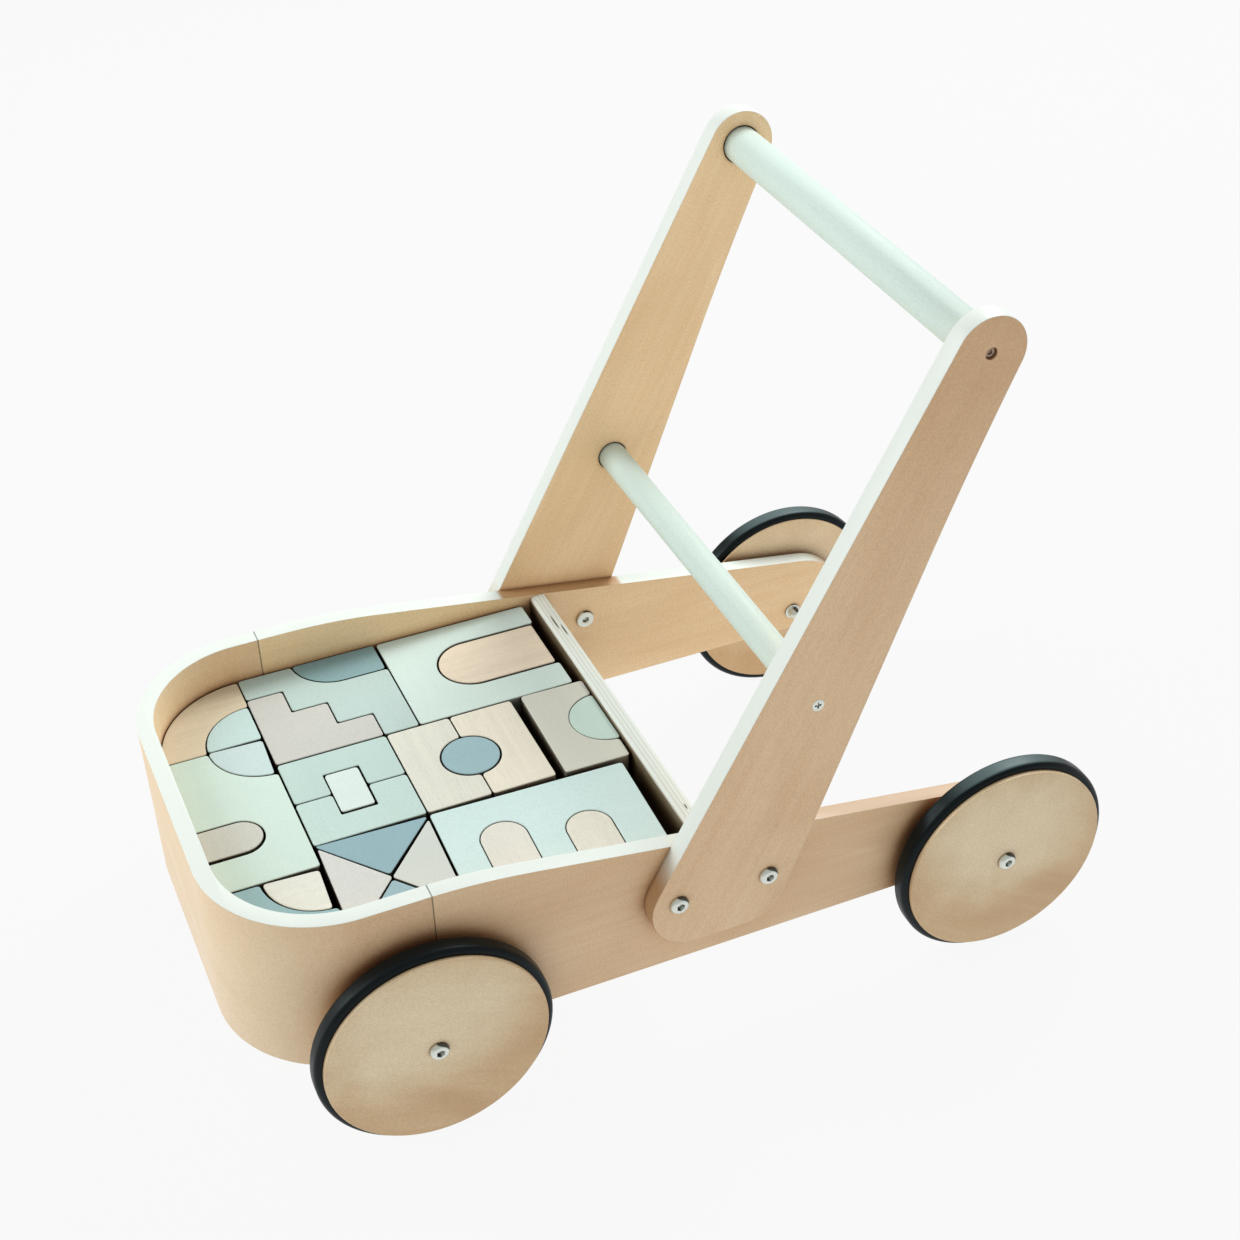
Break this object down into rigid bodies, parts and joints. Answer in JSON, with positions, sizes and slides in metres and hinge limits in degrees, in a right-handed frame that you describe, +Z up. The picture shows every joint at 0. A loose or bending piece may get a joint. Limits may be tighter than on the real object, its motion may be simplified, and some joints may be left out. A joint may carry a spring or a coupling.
{
  "type": "toddler walker",
  "caption": "Push-along toddler walker with a low bent-plywood tray, rubber-tyred disc wheels, leaning side posts, a push bar and cross bar, and a fitted load of pastel building blocks.",
  "frame": {"origin": "on the floor, under the middle of the overall box", "axes": "+Z up; the tray's nose points along -Y and the child walks at +Y; +X is the child's left"},
  "size_m": [0.3202, 0.5322, 0.4403],
  "materials": {
    "birch_panel": "clear matt lacquer, whitewashed ply edges",
    "birch_wheel": "clear matt lacquer",
    "mint_paint": "satin mint paint",
    "tyre_rubber": "satin black rubber",
    "steel": "nickel plated",
    "dark_steel": "dark satin",
    "nylon": "satin",
    "dowel_wood": "raw",
    "block_peach": "matt stain",
    "block_mint": "matt paint",
    "block_teal": "matt paint",
    "block_ice": "matt paint",
    "block_green": "matt paint",
    "block_taupe": "matt paint",
    "block_slate": "matt paint",
    "block_cream": "matt paint"
  },
  "bodies": {
    "frame": {"front_shell": "birch_panel", "side_panel_left": "birch_panel", "side_panel_right": "birch_panel", "back_panel": "birch_panel", "tray_floor": "birch_panel", "handle_post_left": "birch_panel", "handle_post_right": "birch_panel", "handle_bar": "mint_paint", "cross_bar": "mint_paint", "axle_bolts": "steel", "axle_nuts": "steel", "axle_spacers": "nylon", "post_bolts": "steel", "post_nuts": "steel", "handle_screws": "dark_steel", "cross_bar_screws": "steel", "seam_dowels": "dowel_wood", "back_dowels": "dowel_wood"},
    "front_left_wheel": {"wheel_front_left": "birch_wheel", "tyre_front_left": "tyre_rubber"},
    "front_right_wheel": {"wheel_front_right": "birch_wheel", "tyre_front_right": "tyre_rubber"},
    "rear_left_wheel": {"wheel_rear_left": "birch_wheel", "tyre_rear_left": "tyre_rubber"},
    "rear_right_wheel": {"wheel_rear_right": "birch_wheel", "tyre_rear_right": "tyre_rubber"},
    "block_quarter_arch_peach": {"block_quarter_arch_peach": "block_peach"},
    "block_quarter_disc_mint": {"block_quarter_disc_mint": "block_mint"},
    "block_quarter_disc_ice": {"block_quarter_disc_ice": "block_ice"},
    "block_bridge_green": {"block_bridge_green": "block_green"},
    "block_tongue_taupe": {"block_tongue_taupe": "block_taupe"},
    "block_quarter_arch_slate": {"block_quarter_arch_slate": "block_slate"},
    "block_quarter_disc_cream": {"block_quarter_disc_cream": "block_cream"},
    "block_stair_cradle_mint": {"block_stair_cradle_mint": "block_mint"},
    "block_round_corner_slate": {"block_round_corner_slate": "block_slate"},
    "block_stairs_taupe": {"block_stairs_taupe": "block_taupe"},
    "block_channel_left": {"block_channel_left": "block_teal"},
    "block_channel_right": {"block_channel_right": "block_teal"},
    "block_brick_ice": {"block_brick_ice": "block_ice"},
    "block_wedge_left": {"block_wedge_left": "block_slate"},
    "block_wedge_front": {"block_wedge_front": "block_taupe"},
    "block_wedge_rear": {"block_wedge_rear": "block_taupe"},
    "block_wedge_right": {"block_wedge_right": "block_slate"},
    "block_bridge_mint": {"block_bridge_mint": "block_green"},
    "block_tongue_peach": {"block_tongue_peach": "block_peach"},
    "block_saddle_front": {"block_saddle_front": "block_cream"},
    "block_saddle_rear": {"block_saddle_rear": "block_cream"},
    "block_cylinder_slate": {"block_cylinder_slate": "block_slate"},
    "block_bridge_taupe": {"block_bridge_taupe": "block_taupe"},
    "block_half_disc_mint": {"block_half_disc_mint": "block_mint"},
    "block_double_bridge_ice": {"block_double_bridge_ice": "block_ice"},
    "block_arch_front_cream": {"block_arch_front_cream": "block_cream"},
    "block_arch_rear_cream": {"block_arch_rear_cream": "block_cream"}
  },
  "joints": [
    {"name": "spin_front_left", "type": "hinge", "parent": "frame", "child": "front_left_wheel", "pos_m": [0.1489, -0.1654, 0.0695], "axis": [1, 0, 0], "continuous": true},
    {"name": "spin_front_right", "type": "hinge", "parent": "frame", "child": "front_right_wheel", "pos_m": [-0.1489, -0.1654, 0.0695], "axis": [1, 0, 0], "continuous": true},
    {"name": "spin_rear_left", "type": "hinge", "parent": "frame", "child": "rear_left_wheel", "pos_m": [0.1489, 0.1966, 0.0695], "axis": [1, 0, 0], "continuous": true},
    {"name": "spin_rear_right", "type": "hinge", "parent": "frame", "child": "rear_right_wheel", "pos_m": [-0.1489, 0.1966, 0.0695], "axis": [1, 0, 0], "continuous": true},
    {"name": "lift_quarter_arch_peach", "type": "slide", "parent": "frame", "child": "block_quarter_arch_peach", "axis": [0, 0, 1], "range_m": [0, 0.09]},
    {"name": "lift_quarter_disc_mint", "type": "slide", "parent": "frame", "child": "block_quarter_disc_mint", "axis": [0, 0, 1], "range_m": [0, 0.09]},
    {"name": "lift_quarter_disc_ice", "type": "slide", "parent": "frame", "child": "block_quarter_disc_ice", "axis": [0, 0, 1], "range_m": [0, 0.09]},
    {"name": "lift_bridge_green", "type": "slide", "parent": "frame", "child": "block_bridge_green", "axis": [0, 0, 1], "range_m": [0, 0.09]},
    {"name": "lift_tongue_taupe", "type": "slide", "parent": "frame", "child": "block_tongue_taupe", "axis": [0, 0, 1], "range_m": [0, 0.09]},
    {"name": "lift_quarter_arch_slate", "type": "slide", "parent": "frame", "child": "block_quarter_arch_slate", "axis": [0, 0, 1], "range_m": [0, 0.09]},
    {"name": "lift_quarter_disc_cream", "type": "slide", "parent": "frame", "child": "block_quarter_disc_cream", "axis": [0, 0, 1], "range_m": [0, 0.09]},
    {"name": "lift_stair_cradle_mint", "type": "slide", "parent": "frame", "child": "block_stair_cradle_mint", "axis": [0, 0, 1], "range_m": [0, 0.09]},
    {"name": "lift_round_corner_slate", "type": "slide", "parent": "frame", "child": "block_round_corner_slate", "axis": [0, 0, 1], "range_m": [0, 0.09]},
    {"name": "lift_stairs_taupe", "type": "slide", "parent": "frame", "child": "block_stairs_taupe", "axis": [0, 0, 1], "range_m": [0, 0.09]},
    {"name": "lift_channel_left", "type": "slide", "parent": "frame", "child": "block_channel_left", "axis": [0, 0, 1], "range_m": [0, 0.09]},
    {"name": "lift_channel_right", "type": "slide", "parent": "frame", "child": "block_channel_right", "axis": [0, 0, 1], "range_m": [0, 0.09]},
    {"name": "lift_brick_ice", "type": "slide", "parent": "frame", "child": "block_brick_ice", "axis": [0, 0, 1], "range_m": [0, 0.09]},
    {"name": "lift_wedge_left", "type": "slide", "parent": "frame", "child": "block_wedge_left", "axis": [0, 0, 1], "range_m": [0, 0.09]},
    {"name": "lift_wedge_front", "type": "slide", "parent": "frame", "child": "block_wedge_front", "axis": [0, 0, 1], "range_m": [0, 0.09]},
    {"name": "lift_wedge_rear", "type": "slide", "parent": "frame", "child": "block_wedge_rear", "axis": [0, 0, 1], "range_m": [0, 0.09]},
    {"name": "lift_wedge_right", "type": "slide", "parent": "frame", "child": "block_wedge_right", "axis": [0, 0, 1], "range_m": [0, 0.09]},
    {"name": "lift_bridge_mint", "type": "slide", "parent": "frame", "child": "block_bridge_mint", "axis": [0, 0, 1], "range_m": [0, 0.09]},
    {"name": "lift_tongue_peach", "type": "slide", "parent": "frame", "child": "block_tongue_peach", "axis": [0, 0, 1], "range_m": [0, 0.09]},
    {"name": "lift_saddle_front", "type": "slide", "parent": "frame", "child": "block_saddle_front", "axis": [0, 0, 1], "range_m": [0, 0.09]},
    {"name": "lift_saddle_rear", "type": "slide", "parent": "frame", "child": "block_saddle_rear", "axis": [0, 0, 1], "range_m": [0, 0.09]},
    {"name": "lift_cylinder_slate", "type": "slide", "parent": "frame", "child": "block_cylinder_slate", "axis": [0, 0, 1], "range_m": [0, 0.09]},
    {"name": "lift_bridge_taupe", "type": "slide", "parent": "frame", "child": "block_bridge_taupe", "axis": [0, 0, 1], "range_m": [0, 0.09]},
    {"name": "lift_half_disc_mint", "type": "slide", "parent": "frame", "child": "block_half_disc_mint", "axis": [0, 0, 1], "range_m": [0, 0.09]},
    {"name": "lift_double_bridge_ice", "type": "slide", "parent": "frame", "child": "block_double_bridge_ice", "axis": [0, 0, 1], "range_m": [0, 0.09]},
    {"name": "lift_arch_front_cream", "type": "slide", "parent": "frame", "child": "block_arch_front_cream", "axis": [0, 0, 1], "range_m": [0, 0.09]},
    {"name": "lift_arch_rear_cream", "type": "slide", "parent": "frame", "child": "block_arch_rear_cream", "axis": [0, 0, 1], "range_m": [0, 0.09]}
  ]
}
